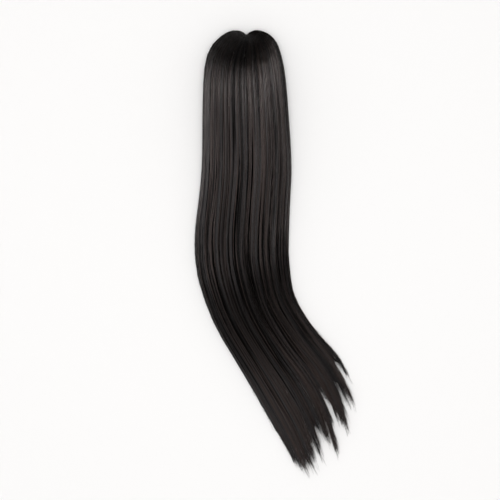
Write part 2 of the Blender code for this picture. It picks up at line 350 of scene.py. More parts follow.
FALL = Fall(SECTIONS)
LOCK_EDGES, TUFT_EDGES = edges_of(LOCKS), edges_of(TUFTS)
HALF = LOCK_EDGES[HANK_LOCKS]


class Ridges:
    """Ridges and valleys that run down the fall, one ridge to a lock."""

    def __init__(self, edges, valleys):
        self.edges, self.valleys = np.asarray(edges), np.asarray(valleys)

    def height(self, across):
        across = np.asarray(across, float)
        index = np.clip(np.searchsorted(self.edges, across, side="right") - 1, 0, len(self.edges) - 2)
        within = (across - self.edges[index]) / (self.edges[index + 1] - self.edges[index])
        within = np.clip(within, 0.0, 1.0)
        ridge = np.sin(np.pi * within)
        valley = np.where(within > 0.5, self.valleys[index + 1], self.valleys[index])
        return ridge * RIDGE - (1 - ridge) * valley


LOCK_RIDGES = Ridges(LOCK_EDGES, [lock.valley for lock in LOCKS] + [0.0])


def hair_height(across, station):
    """Height of the outer layer with the ridges of its locks."""
    rise = FALL.rise(station)
    fade = smooth_step(station, RELIEF_STARTS, RELIEF_FULL)
    relief = np.minimum(RELIEF_MAX, RELIEF_OF_RISE * rise) * fade * LOCK_RIDGES.height(across)
    return np.maximum(rise * dome(across, DOME_POWER) + relief, EDGE_LIP)


def hollow_height(across, station):
    """Height of the hollow, straight from lock to lock, and none under the outermost ones."""
    inside = np.clip((LOCK_EDGES - LOCK_EDGES[1]) / (LOCK_EDGES[-2] - LOCK_EDGES[1]), 0.0, 1.0)
    share = np.interp(across, LOCK_EDGES, dome(inside, HOLLOW_POWER))
    return FALL.hollow(station) * share


# Locks as closed meshes, the dark core that the strands lie on

CORE_DROP = 2.0
CORE_INSET = 2.4
CORE_SHORT = 24.0
CORE_STEPS = 4
THIN_LENGTH = 90.0
NARROW_POWER = 1.4
SHORTEST_PARTED = 8.0
LAST_RING_CLEAR = 2.5
TINY = 1e-6

CROWN_ENDS, TAIL_STARTS = 90.0, 470.0
CROWN_STEP, FIRST_MIDDLE_STEP, MIDDLE_STEP, TAIL_STEP = 4.0, 7.0, 9.0, 5.0

NOSE_INSET_SHARE = 0.2
INSET_STARTS, INSET_FULL = 5.0, 50.0


def ring_stations(start, end):
    """Places of the rings down the fall, closer together over the crown and towards the tips."""
    crown = np.arange(NOSE_START, CROWN_ENDS, CROWN_STEP)
    middle = np.arange(crown[-1] + FIRST_MIDDLE_STEP, TAIL_STARTS, MIDDLE_STEP)
    tail = np.arange(middle[-1] + TAIL_STEP, end, TAIL_STEP)
    stations = np.concatenate([crown, middle, tail])
    return stations[stations >= start]


def drawn_in(across, station, inset):
    """The same places across, with both edges of the fall drawn in by so many millimetres, less at
    the nose."""
    full = smooth_step(station, INSET_STARTS, INSET_FULL)
    inset = inset * (NOSE_INSET_SHARE + (1 - NOSE_INSET_SHARE) * full)
    return 0.5 + (across - 0.5) * (1 - 2 * inset / np.maximum(FALL.width(station), 4 * inset))


def taper(station, starts, reach):
    return np.clip((station - starts) / (reach - starts), 0.0, 1.0)


class Comb:
    """Tufts fused side by side until they part, gathered as one closed mesh."""

    def __init__(self, tufts, edges, last_narrows_at):
        self.tufts, self.edges = tufts, edges
        self.parts = [tuft.parts_at for tuft in tufts] + [last_narrows_at]
        self.points, self.places, self.faces = [], [], []

    def place(self, across, station):
        return FALL.plan(across, station)

    def top(self, across, station):
        return hair_height(across, station)

    def bottom(self, across, station):
        return hollow_height(across, station)

    def thinning(self, index, stations):
        """How thin each column is towards the tip. Neighbours agree on it until they part."""
        own = self.tufts[index].reach
        columns = np.tile(taper(stations, own - THIN_LENGTH, own)[:, None] ** 2, CORE_STEPS + 1)
        for side, column in ((0, 0), (1, -1)):
            other = index - 1 if side == 0 else index + 1
            if 0 <= other < len(self.tufts):
                reach = (own + self.tufts[other].reach) / 2
                fused = stations <= self.parts[index + side]
                columns[fused, column] = taper(stations, reach - THIN_LENGTH, reach)[fused] ** 2
        return columns

    def add_tuft(self, index, stations):
        """Lay the rings of one tuft, which narrows from where it parts to its tip."""
        tuft, left, right = self.tufts[index], self.edges[index], self.edges[index + 1]
        own = np.append(stations[stations < tuft.reach - LAST_RING_CLEAR], tuft.reach)
        ends = self.parts[index:index + 2]
        narrow = [taper(own, end, tuft.reach) ** NARROW_POWER * (1 - TIP_SHARE) for end in ends]
        low = left + (tuft.tip - left) * narrow[0]
        high = right + (tuft.tip - right) * narrow[1]
        across = low[:, None] + (high - low)[:, None] * np.linspace(0.0, 1.0, CORE_STEPS + 1)
        station = np.broadcast_to(own[:, None], across.shape)
        top = self.top(across, station)
        top = top + (TIP_HEIGHT - top) * self.thinning(index, own)
        top = np.maximum(top, self.bottom(across, station) + TIP_HEIGHT / 2)
        bottom = self.bottom(across[:, [0, -1]], station[:, [0, -1]])
        columns = np.concatenate([across[:, :1], across, across[:, -1:]], axis=1)
        heights = np.concatenate([bottom[:, :1], top, bottom[:, 1:]], axis=1)
        rows = np.broadcast_to(own[:, None], columns.shape)
        x, y = self.place(columns, rows)
        self.join_rings(index, own, len(self.points), columns.shape[1])
        self.points.extend(zip((x * MM).ravel(), (y * MM).ravel(), (heights * MM).ravel()))
        self.places.extend(zip(columns.ravel(), rows.ravel()))

    def join_rings(self, index, own, base, wide):
        """Skin the rings of a tuft, with a wall on each side where it has parted from its neighbour,
        and close both ends."""
        open_left = [index == 0 or s > self.parts[index] for s in own]
        open_right = [index == len(self.tufts) - 1 or s > self.parts[index + 1] for s in own]
        for ring in range(len(own) - 1):
            here, after = base + ring * wide, base + (ring + 1) * wide
            first = 0 if open_left[ring + 1] else 1
            last = wide - 1 if open_right[ring + 1] else wide - 2
            for step in range(first, last):
                self.faces.append((here + step, after + step, after + step + 1, here + step + 1))
            self.faces.append((here, here + wide - 1, after + wide - 1, after))
        self.faces.append(tuple(range(base, base + wide)))
        end = base + (len(own) - 1) * wide
        self.faces.append(tuple(reversed(range(end, end + wide))))

    def build(self, name, stations, material):
        for index in range(len(self.tufts)):
            self.add_tuft(index, stations)
        mesh = bpy.data.meshes.new(name)
        mesh.from_pydata(self.points, [], self.faces)
        add_uv(mesh, np.array(self.places) / (1.0, FALL.stations[-1]))
        bm = bmesh.new()
        bm.from_mesh(mesh)
        bmesh.ops.remove_doubles(bm, verts=bm.verts, dist=TINY)
        bmesh.ops.recalc_face_normals(bm, faces=bm.faces)
        bm.to_mesh(mesh)
        bm.free()
        mesh.shade_smooth()
        mesh.materials.append(material)
        return add_object(name, mesh)


class Hank(Comb):
    """Half of the outer layer, kept clear of the other half along the parting."""

    def __init__(self, side):
        split = int(np.searchsorted(TUFT_EDGES, HALF - TINY))
        chosen = slice(0, split) if side < 0 else slice(split, len(TUFTS))
        tufts = [tuft._replace(reach=tuft.reach - CORE_SHORT) for tuft in TUFTS[chosen]]
        tufts = [tuft._replace(parts_at=min(tuft.parts_at, tuft.reach - SHORTEST_PARTED)) for tuft in tufts]
        edges = TUFT_EDGES[chosen.start:chosen.stop + 1]
        last_narrows_at = LOCKS[HANK_LOCKS].parts_at if side < 0 else LAST_LOCK_NARROWS_AT
        super().__init__(tufts, edges, last_narrows_at)
        self.side = side

    def place(self, across, station):
        x, y = super().place(drawn_in(across, station, CORE_INSET), station)
        away = PARTING_GAP / 2 * (1 - np.minimum(np.abs(across - HALF) * 2, 1))
        return x + self.side * away, y

    def top(self, across, station):
        return np.maximum(super().top(across, station) - CORE_DROP, EDGE_LIP / 2)


class UnderLayer(Comb):
    """The shorter layer that fills the hollow behind the clip."""

    def __init__(self, seed):
        random = np.random.default_rng(seed)
        edges = LOCK_EDGES[1:-1]
        reaches = UNDER_REACH + random.uniform(UNDER_SHORTEST, UNDER_LONGEST, len(edges) - 1)
        middles = (edges[1:] + edges[:-1]) / 2
        tufts = [Tuft(0.0, reach, UNDER_PARTS_AT, tip) for reach, tip in zip(reaches, middles)]
        super().__init__(tufts, edges, UNDER_PARTS_AT)

    def place(self, across, station):
        inset = UNDER_SIDE_INSET / FALL.width(station)
        return super().place(np.clip(across, self.edges[0] + inset, self.edges[-1] - inset), station)

    def top(self, across, station):
        return np.maximum(hollow_height(across, station) * UNDER_SHRINK - LAYER_GAP, TIP_HEIGHT / 2)

    def bottom(self, across, station):
        return np.zeros_like(across)


# The guide surface that strands are laid on

GUIDE_COLUMNS, GUIDE_ROWS = 420, 190
GUIDE_END = 622.0
GUIDE_CROWDING = 1.25
GUIDE_DROP = 0.8
GUIDE_INSET = 1.8
GAP_NARROW, GAP_WIDE = 0.25, 1.8
MIDDLE_WIDTH = 122.0


def even_to_across(even):
    """Turn an even spread over the rounded section into a place across the fall."""
    return 0.5 - 0.5 * np.cos(np.pi * even)


def across_to_even(across):
    return np.arccos(1 - 2 * np.clip(across, 0.0, 1.0)) / np.pi


def guide_values(even, seed):
    """What the hair in each column does: how far it reaches, where its tip lies, how light it is, and
    where the nearest gap between locks is and how wide it opens."""
    random = np.random.default_rng(seed)
    across = even_to_across(even)
    tuft = np.clip(np.searchsorted(TUFT_EDGES, across, side="right") - 1, 0, len(TUFTS) - 1)
    reach = np.array([each.reach for each in TUFTS])[tuft] / GUIDE_END
    tip = across_to_even(np.array([each.tip for each in TUFTS]))[tuft]
    tone = random.uniform(0.0, 1.0, len(TUFTS))[tuft]
    gaps = across_to_even(LOCK_EDGES[1:-1])
    valleys = np.array([lock.valley for lock in LOCKS[1:]])
    opening = GAP_NARROW + (GAP_WIDE - GAP_NARROW) * (valleys - valleys.min()) / np.ptp(valleys)
    opening = opening / MIDDLE_WIDTH / (np.pi / 2 * np.sin(np.pi * gaps))
    nearest = np.argmin(np.abs(even[:, None] - gaps[None, :]), axis=1)
    gap_at, gap_opening = gaps[nearest], opening[nearest]
    return {"reach": reach, "tip": tip, "tone": tone, "gap_at": gap_at, "gap_opening": gap_opening}


def guide_surface(seed):
    even = np.linspace(0.0, 1.0, GUIDE_COLUMNS)
    down = np.linspace(0.0, 1.0, GUIDE_ROWS) ** GUIDE_CROWDING * GUIDE_END
    across = np.broadcast_to(even_to_across(even)[None, :], (GUIDE_ROWS, GUIDE_COLUMNS))
    station = np.broadcast_to(down[:, None], across.shape)
    x, y = FALL.plan(drawn_in(across, station, GUIDE_INSET), station)
    z = np.maximum(hair_height(across, station) - GUIDE_DROP, EDGE_LIP / 2)
    points = np.stack([x, y, z], axis=-1).reshape(-1, 3) * MM
    index = np.arange(GUIDE_ROWS * GUIDE_COLUMNS).reshape(GUIDE_ROWS, GUIDE_COLUMNS)
    faces = np.stack([index[:-1, :-1], index[1:, :-1], index[1:, 1:], index[:-1, 1:]], axis=-1)
    mesh = bpy.data.meshes.new("guide_surface")
    mesh.from_pydata(points.tolist(), [], faces.reshape(-1, 4).tolist())
    places = np.tile(even, GUIDE_ROWS), np.repeat(down / GUIDE_END, GUIDE_COLUMNS)
    add_uv(mesh, np.stack(places, axis=-1))
    for name, values in guide_values(even, seed).items():
        layer = mesh.attributes.new(name, "FLOAT", "POINT")
        layer.data.foreach_set("value", np.tile(values, GUIDE_ROWS).astype(np.float32))
    return add_object("guide_surface", mesh)


# Strands laid along the guide surface by geometry nodes

STRAND_INPUTS = [
    ("Guide", "Object", None),
    ("Finish", "Material", None),
    ("Strands", "Int", 1250),
    ("Points", "Int", 26),
    ("Seed", "Int", 1),
    ("From", "Float", 0.0),
    ("To", "Float", 1.0),
    ("Wisps", "Int", 88),
    ("Thickness", "Float", 0.0005),
    ("Wisp height", "Float", 0.002),
    ("Lift", "Float", 0.0003),
    ("Drift", "Float", 1.2),
    ("Wander", "Float", 0.004),
    ("Short", "Float", 0.08),
    ("Fray", "Float", 0.0026),
    ("Late start", "Float", 0.02),
]

# One number for each random choice, so that no two choices agree.
SALTS = dict(
    root=1, start=2, short=4, point_length=5, depth=6, width=7, shade=8, point=9, wisp_end=11,
    wisp_gather=12, wisp_pile=13, splay_x=14, splay_y=15, wisp_shade=16, wisp_hue=17, hue=18, long=19,
)
SEED_STEP, ORDER_STEP = 17, 3.71

# Patterns over the whole fall: how fine each is across it and down it, and a number of its own.
WARP, STREAKS = (2.6, 2.6, 4.4), (88.0, 1.6, 9.9)
BANDS, VALLEY_SHADE = (26.0, 2.6, 3.3), (108.0, 3.6, 21.7)

# Ripples down a strand, a wisp or a gap: how fine each is, and a number of its own.
WISP_WIDTH, WISP_DRIFT = (5.0, 0.5), (3.0, 7.1)
STRAND_BEND, STRAND_LIFT, GAP_WIDTH = (5.0, 1.1), (9.0, 5.7), (4.5, 2.3)

# Where down the fall each change sets in and is complete.
LIFT_STARTS = 0.0, 0.07
DRIFT_STARTS = 0.05, 0.3
WARP_STARTS = 0.08, 0.35
GAPS_OPEN, GAPS_CLOSE = (0.14, 0.3), (0.66, 0.8)
GAPS_WIDEN, GAPS_NARROW = (0.34, 0.44), (0.6, 0.72)
VALLEYS_DEEPEN, VALLEYS_RECOVER = (0.34, 0.46), (0.56, 0.7)
VALLEYS_START = 0.15, 0.35
TAIL_EVENS_OUT = 0.62, 0.82

# How far before its end a strand gathers, settles and splays.
GATHERS_OVER, SETTLES_OVER, SPLAYS_OVER = 0.22, 0.12, 0.07

# How far ends differ: with the distance from the tip of the tuft, from wisp to wisp, and for the odd
# long strand.
END_SLOPE, WISP_END, LONG_END = 1.1, 0.035, 0.03

# The values of a pattern or a width between which it takes effect.
GAP_SHOWS, VALLEY_SHOWS = (0.33, 0.52), (0.36, 0.41)
GAP_SHADES, GAP_IS_WIDE = (0.25, 0.6), (0.003, 0.0065)

# How strong the changes are.
WISP_SWING, WISP_FILL = 2.4, 0.68
WARP_SIZE = 0.03
GAPS_WIDER, GAPS_FADE = 0.16, 0.75
VALLEYS_DEEPER = 0.06
TAIL_EVENNESS, TAIL_SHADE = 0.65, 0.55
PUSH_BASE = 2.718

GAP_ORDERS = 40.0
FIRST_DOWN, PAST_REACH = 0.003, 0.008
EVEN_LIMITS, DOWN_LIMITS = (0.002, 0.998), (0.002, 0.999)


class StrandGraph(Graph):
    """The node tree that lays strands, with one method for each thing that a strand does. Places
    across are even places on the guide, from 0 to 1, and places down are shares of its length."""

    def __init__(self):
        super().__init__(bpy.data.node_groups.new("Laid Strands", "GeometryNodeTree"))
        for name, kind, default in STRAND_INPUTS:
            socket = self.tree.interface.new_socket(name, in_out="INPUT", socket_type="NodeSocket" + kind)
            if default is not None:
                socket.default_value = default
        self.tree.interface.new_socket("Geometry", in_out="OUTPUT", socket_type="NodeSocketGeometry")
        given = self.add("NodeGroupInput")
        self.ask = {name: self.out(given, name) for name, _, _ in STRAND_INPUTS}
        self.guide = self.node("GeometryNodeObjectInfo", None, {"Object": self.ask["Guide"]}, "Geometry")

    def attribute(self, name, kind):
        return self.node("GeometryNodeInputNamedAttribute", {"data_type": kind}, {"Name": name})

    def chance(self, name, order=None, low=0.0, high=1.0):
        """A random value for each strand, or for each wisp where its order is given."""
        seed = SALTS[name] if order else self.ask["Seed"] * SEED_STEP + SALTS[name]
        values = {"Min": low, "Max": high, "ID": order or self.order, "Seed": seed}
        return self.node("FunctionNodeRandomValue", {"data_type": "FLOAT"}, values)

    def ripple(self, order, along, salt):
        """Smooth noise down the fall, different for each order."""
        return self.noise(self.combine(order * ORDER_STEP, self.down * along, salt))

    def pattern(self, across, along, salt):
        """Smooth noise over the whole fall."""
        return self.noise(self.combine(self.root * across, self.down * along, salt))

    def on_guide(self, value, kind, even, down):
        place = self.combine(even.clamp(*EVEN_LIMITS), down.clamp(*DOWN_LIMITS), 0.0)
        source = self.attribute(UV_NAME, "FLOAT_VECTOR")
        values = {"Mesh": self.guide, "Value": value, "UV Map": source, "Sample UV": place}
        return self.node("GeometryNodeSampleUVSurface", {"data_type": kind}, values, "Value")

    def told(self, name, even):
        """A value that the guide holds for the column at this even place."""
        halfway = even * 0 + 0.5
        return self.on_guide(self.attribute(name, "FLOAT"), "FLOAT", even, halfway)

    def lines(self):
        line = self.node("GeometryNodeCurvePrimitiveLine", None, {"End": (0.0, 1.0, 0.0)})
        line = self.node("GeometryNodeResampleCurve", None, {"Curve": line, "Count": self.ask["Points"]})
        values = {"Geometry": line, "Amount": self.ask["Strands"]}
        copies = self.add("GeometryNodeDuplicateElements", {"domain": "SPLINE"}, values)
        self.order = self.out(copies, "Duplicate Index")
        return self.out(copies, "Geometry")

    def root_strands(self):
        """Give each strand its root across the fall, its wisp, its place across that wisp, from -0.5
        to 0.5, and what the guide tells of its tuft and of the nearest gap."""
        self.root = self.chance("root", None, self.ask["From"], self.ask["To"])
        placed = self.root * self.ask["Wisps"]
        self.wisp = placed.math("FLOOR")
        self.within = placed - self.wisp - 0.5
        self.reach, self.tip, self.tone = (self.told(name, self.root) for name in ("reach", "tip", "tone"))
        self.gap, self.opening = self.told("gap_at", self.root), self.told("gap_opening", self.root)

    def run_down(self):
        """Take each strand from near the parting to its own end, which lies shorter the further its
        wisp is from the tip of the tuft."""
        ask, chance = self.ask, self.chance
        along = self.node("GeometryNodeSplineParameter", out="Factor")
        start = chance("start") ** 3.0 * ask["Late start"] + FIRST_DOWN
        centre = (self.wisp + 0.5) / ask["Wisps"]
        end = self.reach + PAST_REACH - (centre - self.tip).math("ABSOLUTE") * END_SLOPE
        end = end - chance("wisp_end", self.wisp) ** 1.5 * WISP_END
        end = end - ask["Short"] * chance("short") ** 3.0 + chance("long") ** 7.0 * LONG_END
        self.along, self.end = along, end
        self.down = start + (end - start) * along ** 1.3

    def gather(self):
        """Draw the wisps towards the tip of their tuft, and each strand into the point of its wisp."""
        ask, chance, down = self.ask, self.chance, self.down
        narrow = (self.ripple(self.wisp, *WISP_WIDTH) - 0.5) * WISP_SWING + WISP_FILL
        drift = (self.ripple(self.wisp, *WISP_DRIFT) - 0.5) * ask["Drift"] * down.ramp(*DRIFT_STARTS)
        middle = (self.wisp + 0.5 + drift) / ask["Wisps"]
        drawn = ((down - self.reach) / GATHERS_OVER + 1.0).clamp() ** 1.6
        middle = middle + (self.tip - middle) * drawn * chance("wisp_gather", self.wisp, 0.3, 0.8)
        point = ((down - self.end) / chance("point_length", None, 0.06, 0.14) + 1.0).clamp() ** 1.3
        point = 1.0 - point * chance("point", None, 0.6, 1.0)
        return middle + self.within * narrow / ask["Wisps"] * point

    def wander(self, even):
        """Bend the whole fall a little, and each strand on its own."""
        even = even + (self.pattern(*WARP) - 0.5) * WARP_SIZE * self.down.ramp(*WARP_STARTS)
        own = self.ripple(self.order, *STRAND_BEND) - 0.5
        return even + own * self.ask["Wander"] * (self.down * 1.6 + 0.25)

    def stretch(self):
        """How far the nearest gap is open at each place down the fall, from 0 to 1."""
        down = self.down
        wider = down.ramp(*GAPS_WIDEN) * (1.0 - down.ramp(*GAPS_NARROW)) * GAPS_WIDER
        stretch = (self.ripple(self.gap * GAP_ORDERS, *GAP_WIDTH) + wider).ramp(*GAP_SHOWS)
        return stretch * down.ramp(*GAPS_OPEN) * (1.0 - down.ramp(*GAPS_CLOSE) * GAPS_FADE)

    def open_gaps(self, even):
        """Push strands aside where a gap between locks opens."""
        away = even - self.gap
        push = PUSH_BASE ** (away.math("ABSOLUTE") / self.opening * -0.5)
        return even + away.math("SIGN") * self.opening * push * self.stretch()

    def beside_gap(self):
        """How deep in the shadow of a wide gap a strand lies, from 0 to 1."""
        near = 1.0 - ((self.root - self.gap).math("ABSOLUTE") / self.opening).ramp(*GAP_SHADES)
        return near * self.opening.ramp(*GAP_IS_WIDE) * self.stretch()

    def pile_up(self, even):
        """Lift strands off the guide: each wisp is a low mound, and strands settle and splay at their
        ends. Returns their places, clear of the table by their own radius."""
        ask, chance, down = self.ask, self.chance, self.down
        place = self.on_guide(self.node("GeometryNodeInputPosition"), "FLOAT_VECTOR", even, down)
        normal = self.on_guide(self.node("GeometryNodeInputNormal"), "FLOAT_VECTOR", even, down)
        pile = (1.0 - (self.within * 2.0) ** 2.0) * 0.6 + chance("wisp_pile", self.wisp) * 0.4
        self.depth = chance("depth")
        settle = 1.0 - (down - self.end + SETTLES_OVER).ramp(0.0, SETTLES_OVER) * 0.6
        lift = ask["Wisp height"] * pile * (self.depth * 0.6 + 0.4) * settle
        lift = lift + ask["Lift"] * (self.ripple(self.order, *STRAND_LIFT) - 0.3)
        lift = lift * (down.ramp(*LIFT_STARTS) * 0.7 + 0.3)
        x, y, z = self.split(self.vector("MULTIPLY_ADD", normal, self.combine(lift, lift, lift), place))
        splay = ask["Fray"] * ((down - self.end) / SPLAYS_OVER + 1.0).clamp() ** 2.0
        x = x + splay * chance("splay_x", None, -1.0, 1.0)
        y = y + splay * chance("splay_y", None, -1.0, 1.0)
        width = ask["Thickness"] * 0.5 * chance("width", None, 0.6, 1.4)
        self.radius = width * (1.0 - (self.along ** 5.0) * 0.6)
        return self.combine(x, y, z.math("MAXIMUM", self.radius))

    def shade(self):
        """How light each strand is down its length: streaks and wisps, with painted shade in the valleys
        between them, at the edges of the wisps and deeper in the pile, the painted shadow of the gaps, and an
        even tail."""
        chance, down = self.chance, self.down
        streak = ((self.pattern(*STREAKS) - 0.5) * 4.0 + 0.5).clamp()
        band = (self.pattern(*BANDS) - 0.5) * 2.4 + 0.5
        # Painted shade in the valleys between wisps, deepest through the bend.
        deeper_shade = down.ramp(*VALLEYS_DEEPEN) * (1.0 - down.ramp(*VALLEYS_RECOVER)) * VALLEYS_DEEPER
        valley = (self.pattern(*VALLEY_SHADE) - deeper_shade).ramp(*VALLEY_SHOWS)
        shade = streak * 0.42 + band * 0.06 + chance("shade") * 0.16
        shade = shade + chance("wisp_shade", self.wisp) * 0.2
        # Strands deeper in the pile and at the edges of their wisp get painted shade.
        shade = shade + self.depth * 0.1 + self.tone * 0.05 + 0.1 - (self.within * 2.0) ** 2.0 * 0.2
        # The painted shade of the valleys is lighter high on the fall, and painted shadow falls beside wide
        # gaps.
        least = 0.05 + (1.0 - down.ramp(*VALLEYS_START)) * 0.4
        shade = shade * (valley * (1.0 - least) + least) * (1.0 - self.beside_gap())
        tail = down.ramp(*TAIL_EVENS_OUT) * TAIL_EVENNESS
        return shade * (1.0 - tail) + tail * TAIL_SHADE

    def hue(self):
        """How warm each strand is, mostly the same through a wisp."""
        return self.chance("wisp_hue", self.wisp) * 0.7 + self.chance("hue") * 0.3

    def build(self):
        strands = self.lines()
        self.root_strands()
        self.run_down()
        place = self.pile_up(self.open_gaps(self.wander(self.gather())))
        strands = self.node("GeometryNodeSetPosition", None, {"Geometry": strands, "Position": place})
        stored = {"shade": self.shade(), "hue": self.hue(), "across": self.root, "down": self.down}
        for name, value in stored.items():
            values = {"Geometry": strands, "Name": name, "Value": value}
            strands = self.node("GeometryNodeStoreNamedAttribute", {"data_type": "FLOAT"}, values)
        ring = self.node("GeometryNodeCurvePrimitiveCircle", None, {"Resolution": 3, "Radius": 1.0})
        values = {"Curve": strands, "Profile Curve": ring, "Scale": self.radius, "Fill Caps": True}
        tubes = self.node("GeometryNodeCurveToMesh", None, values)
        tubes = self.node("GeometryNodeSetShadeSmooth", None, {"Geometry": tubes})
        tubes = self.node("GeometryNodeRealizeInstances", None, {"Geometry": tubes})
        values = {"Geometry": tubes, "Material": self.ask["Finish"]}
        self.add("NodeGroupOutput", None, [self.node("GeometryNodeSetMaterial", None, values)])
        return self.tree


def lay_strands(name, tree, guide, material, choices):
    """Run the strand tree on its own object, then keep the result as a plain mesh."""
    holder = add_object(name + "_nodes", bpy.data.meshes.new(name + "_nodes"))
    modifier = holder.modifiers.new("Strands", "NODES")
    modifier.node_group = tree
    keys = {item.name: item.identifier for item in tree.interface.items_tree if item.in_out == "INPUT"}
    for label, value in {"Guide": guide, "Finish": material, **choices}.items():
        modifier[keys[label]] = value
    bpy.context.view_layer.update()
    evaluated = holder.evaluated_get(bpy.context.evaluated_depsgraph_get())
    mesh = bpy.data.meshes.new_from_object(evaluated)
    mesh.name = name
    bpy.data.objects.remove(holder, do_unlink=True)
    if not mesh.polygons:
        raise RuntimeError(f"{name} came out empty")
    return add_object(name, mesh)


# Finishes

WAX_ROUGHNESS = 0.28
FIBRE_SPECULAR, CORE_SPECULAR, PAPER_SPECULAR = 0.06, 0.02, 0.1
PAPER_ROUGHNESS = 0.9
CLIP_PLAIN, CLIP_WORN = (0.016, 0.016, 0.017, 1.0), (0.03, 0.029, 0.029, 1.0)
CLIP_GRAIN, CLIP_PATCHES = 1400.0, 45.0
CORE_STREAKS_ACROSS, CORE_STREAKS_DOWN = 420.0, 7.0

# Where down the fall and across it painted shade and painted light change the tone of the strands:
# painted shade over the crown and through the bend, a painted lighter tail, and a painted sheen high on the
# fall.
CROWN_SHADE_CLEARS, TAIL_PAINTED_LIGHTER = (0.056, 0.104), (0.66, 0.82)
BEND_SHADE_DEEPENS, BEND_SHADE_CLEARS, BEND_SHADE_ACROSS = (0.42, 0.53), (0.57, 0.8), (0.02, 0.2)
SHEEN_RISES, SHEEN_FALLS, SHEEN_ENDS = (0.08, 0.28), (0.6, 0.85), (0.18, 0.34)


def new_material(name):
    material = bpy.data.materials.new(name)
    material.use_nodes = True
    graph = Graph(material.node_tree)
    shader = material.node_tree.nodes["Principled BSDF"]
    return material, graph, shader


def strand_material(dark, warm, cool):
    """Near-black fibre whose tone shifts from strand to strand and hue from wisp to wisp. Painted shade
    darkens it over the crown, through the bend and towards the right, a painted sheen lightens it left of
    the middle high on the fall, and its tail is painted lighter. It is waxy where it is light, and less so
    where shade is painted."""
    material, graph, shader = new_material("hair_strands")
    shade, hue, down, across = (
        graph.node("ShaderNodeAttribute", {"attribute_name": name}, out="Fac")
        for name in ("shade", "hue", "down", "across")
    )
    # Painted shade over the crown and through the bend, less of it at the left edge, and a painted lighter
    # tail.
    crown = 1.0 - (down + across * 0.05).ramp(*CROWN_SHADE_CLEARS)
    painted_bend_shade = (down + across * 0.03).ramp(*BEND_SHADE_DEEPENS) * (1.0 - (down + across * 0.08).ramp(*BEND_SHADE_CLEARS))
    painted_bend_shade = painted_bend_shade * (across.ramp(*BEND_SHADE_ACROSS) * 0.85 + 0.15)
    tail = down.ramp(*TAIL_PAINTED_LIGHTER)
    # A painted sheen: lighter left of the middle and painted shade on the right, high on the fall.
    sheen = across.ramp(*SHEEN_RISES) - across.ramp(*SHEEN_FALLS) * 1.6
    sheen = 1.0 + sheen * (1.0 - down.ramp(*SHEEN_ENDS)) * 0.15
    # The tone carries the painted shade and light: darker over the crown, through the bend and towards the
    # right, lighter in the tail.
    tone = 0.75 + tail * 0.18 - crown * 0.6 - painted_bend_shade * 0.42 - across * 0.08
    lightness = shade.ramp(0.1, 0.85) * tone * sheen
    light = graph.mix_colour(hue.ramp(0.2, 0.8), (*cool, 1.0), (*warm, 1.0))
    feed(shader.inputs["Base Color"], graph.mix_colour(lightness, (*dark, 1.0), light))
    feed(shader.inputs["Roughness"], 0.4 - shade * 0.1)
    # The coat follows the strand's lightness. It is lowered where shade is painted, through the bend, over
    # the crown and towards the right, and the painted sheen raises it.
    wax_and_painted_light = shade.ramp(0.0, 0.9) * (1.0 - painted_bend_shade * 0.6 - crown * 0.65 - across * 0.45)
    feed(shader.inputs["Coat Weight"], (wax_and_painted_light * sheen).clamp())
    feed(shader.inputs["Coat Roughness"], WAX_ROUGHNESS)
    feed(shader.inputs["Specular IOR Level"], FIBRE_SPECULAR)
    return material


def lock_material(dark, warm):
    """The core under the strands, near-black with hardly any tint as painted shade, which shows only as the
    dark of the gaps.
    """
    material, graph, shader = new_material("hair_locks")
    feed(shader.inputs["Specular IOR Level"], CORE_SPECULAR)
    across, down, _ = graph.split(graph.node("ShaderNodeUVMap", {"uv_map": UV_NAME}))
    place = graph.combine(across * CORE_STREAKS_ACROSS, down * CORE_STREAKS_DOWN, 0.0)
    streaks = graph.noise(place, detail=3.0)
    # The darkest strand colour with almost no tint: painted shade for the gaps.
    gap_shade_colour = graph.mix_colour(streaks.ramp(0.45, 0.75) * 0.02, (*dark, 1.0), (*warm, 1.0))
    feed(shader.inputs["Base Color"], gap_shade_colour)
    feed(shader.inputs["Roughness"], 0.55 + streaks * 0.2)
    bump = graph.node("ShaderNodeBump", None, {"Strength": 0.6, "Distance": 0.0004, "Height": streaks})
    feed(shader.inputs["Normal"], bump)
    return material


def clip_material():
    """Moulded black plastic with a fine satin grain and rubbed patches."""
    material, graph, shader = new_material("clip_plastic")
    place = graph.node("ShaderNodeTexCoord", out="Object")
    grain = graph.noise(place, CLIP_GRAIN)
    rubbed = graph.noise(place, CLIP_PATCHES, detail=3.0).ramp(0.45, 0.7)
    feed(shader.inputs["Base Color"], graph.mix_colour(rubbed, CLIP_PLAIN, CLIP_WORN))
    feed(shader.inputs["Roughness"], 0.3 + grain * 0.1 + rubbed * 0.12)
    bump = graph.node("ShaderNodeBump", None, {"Strength": 0.15, "Distance": 0.0001, "Height": grain})
    feed(shader.inputs["Normal"], bump)
    return material


# The studio, in metres but for the camera's sensor

SENSOR_WIDTH = 36.0
FLOOR_HALF_SIZE = 12.0
FLOOR_GLOW, GLOW_STARTS, GLOW_FULL = 0.4, 1.0, 5.0
OVERHEAD_HEIGHT, OVERHEAD_SIZE = 3.0, (2.2, 2.2)
SHEEN_PLACE, SHEEN_AIM, SHEEN_SIZE = (-0.75, 0.2, 1.45), (-0.1, 0.0, 0.0), (1.0, 0.85)
SHEEN_COLOUR = (1.0, 0.92, 0.9)
WORLD_COLOUR = (1.0, 0.99, 0.985, 1.0)
WORLD_SEEN, WORLD_GLOSS, WORLD_HORIZON = 0.965, 0.01, 0.5


def photo_place(pixel_x, pixel_y):
    """Place on the table, in metres, of a pixel of the photograph."""
    return (pixel_x - ORIGIN_PIXEL_X) * PIXEL_MM * MM, (ORIGIN_PIXEL_Y - pixel_y) * PIXEL_MM * MM


